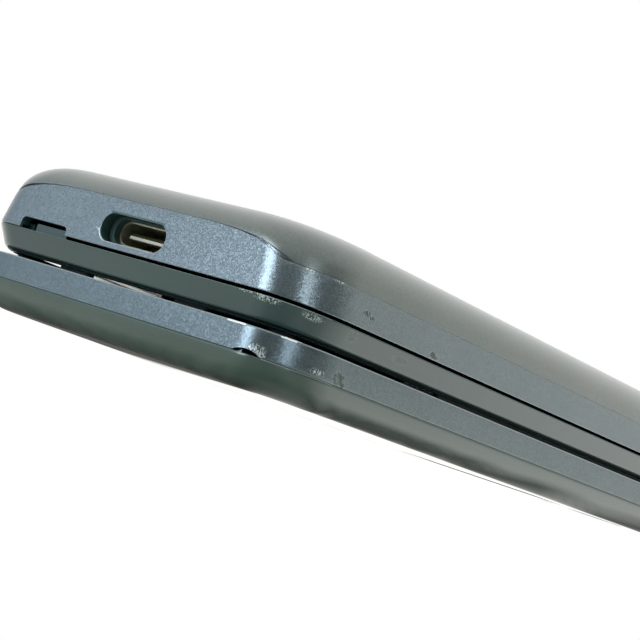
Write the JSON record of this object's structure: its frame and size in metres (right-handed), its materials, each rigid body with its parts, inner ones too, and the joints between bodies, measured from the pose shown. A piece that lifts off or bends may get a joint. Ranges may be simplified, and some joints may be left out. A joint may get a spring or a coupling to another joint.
{
  "type": "flip phone",
  "caption": "Closed clamshell phone lying on its lid: hinged display half and keypad half with pressing keys, lift-off battery cover and a USB-C port in the free end.",
  "frame": {"origin": "centre of the flat of the lid's outer panel, on which the closed phone lies", "axes": "+Z from the lid's flat up to the battery cover, +Y from the free end to the hinge, +X across the phone to the side opposite the side keys"},
  "size_m": [0.051, 0.113, 0.0182],
  "materials": {
    "dark_gloss": "smooth dark green-grey lacquered ABS",
    "flake_paint": "navy paint with fine metal flake on moulded resin",
    "dark_satin": "smooth dark resin, satin",
    "key_resin": "moulded key resin",
    "display_stack": "display module",
    "clear_window": "clear hard-coated window",
    "smoked_window": "smoked window",
    "black_plastic": "moulded black plastic",
    "pale_plastic": "pale moulded tongue",
    "fine_mesh": "woven mesh",
    "circuit_board": "green circuit board",
    "soft_rubber": "soft rubber",
    "screw_steel": "steel",
    "plated_metal": "nickel plated",
    "flex_film": "amber polyimide film",
    "battery_wrap": "pale wrap",
    "copper_foil": "copper foil"
  },
  "bodies": {
    "lid": {"outer_panel": "dark_gloss", "lid_frame": "flake_paint", "display_bezel": "dark_satin", "main_display": "display_stack", "display_window": "clear_window", "sub_display": "display_stack", "sub_display_window": "smoked_window", "camera_module": "black_plastic", "camera_windows": "smoked_window", "earpiece": "black_plastic", "earpiece_mesh": "fine_mesh", "lid_board": "circuit_board", "bumpers": "soft_rubber", "lid_screws": "screw_steel", "closing_magnet": "plated_metal", "hinge_can": "plated_metal", "hinge_follower": "plated_metal", "hinge_spring": "screw_steel", "hinge_flex": "flex_film"},
    "keypad_half": {"front_case": "dark_satin", "rear_case": "flake_paint", "battery": "battery_wrap", "main_board": "circuit_board", "dome_sheet": "flex_film", "shield_cans": "plated_metal", "card_holder": "plated_metal", "loudspeaker": "black_plastic", "vibration_motor": "plated_metal", "antenna": "copper_foil", "case_screws": "screw_steel", "usb_shell": "plated_metal", "usb_tongue": "pale_plastic", "usb_seal": "black_plastic", "hinge_shaft": "screw_steel", "plain_pin": "screw_steel", "hinge_caps": "flake_paint"},
    "battery_cover": {"battery_cover": "dark_gloss"},
    "key_1": {"key_1": "key_resin"},
    "key_2": {"key_2": "key_resin"},
    "key_3": {"key_3": "key_resin"},
    "key_4": {"key_4": "key_resin"},
    "key_5": {"key_5": "key_resin"},
    "key_6": {"key_6": "key_resin"},
    "key_7": {"key_7": "key_resin"},
    "key_8": {"key_8": "key_resin"},
    "key_9": {"key_9": "key_resin"},
    "key_star": {"key_star": "key_resin"},
    "key_0": {"key_0": "key_resin"},
    "key_hash": {"key_hash": "key_resin"},
    "key_call": {"key_call": "key_resin"},
    "key_clear": {"key_clear": "key_resin"},
    "key_end": {"key_end": "key_resin"},
    "key_soft_1": {"key_soft_1": "key_resin"},
    "key_soft_2": {"key_soft_2": "key_resin"},
    "key_soft_3": {"key_soft_3": "key_resin"},
    "key_soft_4": {"key_soft_4": "key_resin"},
    "key_select": {"key_select": "key_resin"},
    "key_nav": {"key_nav": "key_resin"},
    "side_key_up": {"side_key_up": "flake_paint"},
    "side_key_down": {"side_key_down": "flake_paint"}
  },
  "joints": [
    {"name": "lid_hinge", "type": "hinge", "parent": "lid", "child": "keypad_half", "pos_m": [0, 0.0513, 0.00661], "axis": [-1, 0, 0], "range_deg": [0, 160]},
    {"name": "cover_lift", "type": "slide", "parent": "keypad_half", "child": "battery_cover", "axis": [0, 0, 1], "range_m": [0, 0.012]},
    {"name": "key_1_press", "type": "slide", "parent": "keypad_half", "child": "key_1", "axis": [0, 0, 1], "range_m": [0, 0.0003], "stiffness_N_per_m": 1500, "springref_m": -0.0002},
    {"name": "key_2_press", "type": "slide", "parent": "keypad_half", "child": "key_2", "axis": [0, 0, 1], "range_m": [0, 0.0003], "stiffness_N_per_m": 1500, "springref_m": -0.0002},
    {"name": "key_3_press", "type": "slide", "parent": "keypad_half", "child": "key_3", "axis": [0, 0, 1], "range_m": [0, 0.0003], "stiffness_N_per_m": 1500, "springref_m": -0.0002},
    {"name": "key_4_press", "type": "slide", "parent": "keypad_half", "child": "key_4", "axis": [0, 0, 1], "range_m": [0, 0.0003], "stiffness_N_per_m": 1500, "springref_m": -0.0002},
    {"name": "key_5_press", "type": "slide", "parent": "keypad_half", "child": "key_5", "axis": [0, 0, 1], "range_m": [0, 0.0003], "stiffness_N_per_m": 1500, "springref_m": -0.0002},
    {"name": "key_6_press", "type": "slide", "parent": "keypad_half", "child": "key_6", "axis": [0, 0, 1], "range_m": [0, 0.0003], "stiffness_N_per_m": 1500, "springref_m": -0.0002},
    {"name": "key_7_press", "type": "slide", "parent": "keypad_half", "child": "key_7", "axis": [0, 0, 1], "range_m": [0, 0.0003], "stiffness_N_per_m": 1500, "springref_m": -0.0002},
    {"name": "key_8_press", "type": "slide", "parent": "keypad_half", "child": "key_8", "axis": [0, 0, 1], "range_m": [0, 0.0003], "stiffness_N_per_m": 1500, "springref_m": -0.0002},
    {"name": "key_9_press", "type": "slide", "parent": "keypad_half", "child": "key_9", "axis": [0, 0, 1], "range_m": [0, 0.0003], "stiffness_N_per_m": 1500, "springref_m": -0.0002},
    {"name": "key_star_press", "type": "slide", "parent": "keypad_half", "child": "key_star", "axis": [0, 0, 1], "range_m": [0, 0.0003], "stiffness_N_per_m": 1500, "springref_m": -0.0002},
    {"name": "key_0_press", "type": "slide", "parent": "keypad_half", "child": "key_0", "axis": [0, 0, 1], "range_m": [0, 0.0003], "stiffness_N_per_m": 1500, "springref_m": -0.0002},
    {"name": "key_hash_press", "type": "slide", "parent": "keypad_half", "child": "key_hash", "axis": [0, 0, 1], "range_m": [0, 0.0003], "stiffness_N_per_m": 1500, "springref_m": -0.0002},
    {"name": "key_call_press", "type": "slide", "parent": "keypad_half", "child": "key_call", "axis": [0, 0, 1], "range_m": [0, 0.0003], "stiffness_N_per_m": 1500, "springref_m": -0.0002},
    {"name": "key_clear_press", "type": "slide", "parent": "keypad_half", "child": "key_clear", "axis": [0, 0, 1], "range_m": [0, 0.0003], "stiffness_N_per_m": 1500, "springref_m": -0.0002},
    {"name": "key_end_press", "type": "slide", "parent": "keypad_half", "child": "key_end", "axis": [0, 0, 1], "range_m": [0, 0.0003], "stiffness_N_per_m": 1500, "springref_m": -0.0002},
    {"name": "key_soft_1_press", "type": "slide", "parent": "keypad_half", "child": "key_soft_1", "axis": [0, 0, 1], "range_m": [0, 0.0003], "stiffness_N_per_m": 1500, "springref_m": -0.0002},
    {"name": "key_soft_2_press", "type": "slide", "parent": "keypad_half", "child": "key_soft_2", "axis": [0, 0, 1], "range_m": [0, 0.0003], "stiffness_N_per_m": 1500, "springref_m": -0.0002},
    {"name": "key_soft_3_press", "type": "slide", "parent": "keypad_half", "child": "key_soft_3", "axis": [0, 0, 1], "range_m": [0, 0.0003], "stiffness_N_per_m": 1500, "springref_m": -0.0002},
    {"name": "key_soft_4_press", "type": "slide", "parent": "keypad_half", "child": "key_soft_4", "axis": [0, 0, 1], "range_m": [0, 0.0003], "stiffness_N_per_m": 1500, "springref_m": -0.0002},
    {"name": "key_select_press", "type": "slide", "parent": "keypad_half", "child": "key_select", "axis": [0, 0, 1], "range_m": [0, 0.0003], "stiffness_N_per_m": 1500, "springref_m": -0.0002},
    {"name": "key_nav_press", "type": "slide", "parent": "keypad_half", "child": "key_nav", "axis": [0, 0, 1], "range_m": [0, 0.0003], "stiffness_N_per_m": 1500, "springref_m": -0.0002},
    {"name": "side_key_up_press", "type": "slide", "parent": "keypad_half", "child": "side_key_up", "axis": [1, 0, 0], "range_m": [0, 0.00035], "stiffness_N_per_m": 1500, "springref_m": -0.0002},
    {"name": "side_key_down_press", "type": "slide", "parent": "keypad_half", "child": "side_key_down", "axis": [1, 0, 0], "range_m": [0, 0.00035], "stiffness_N_per_m": 1500, "springref_m": -0.0002}
  ]
}
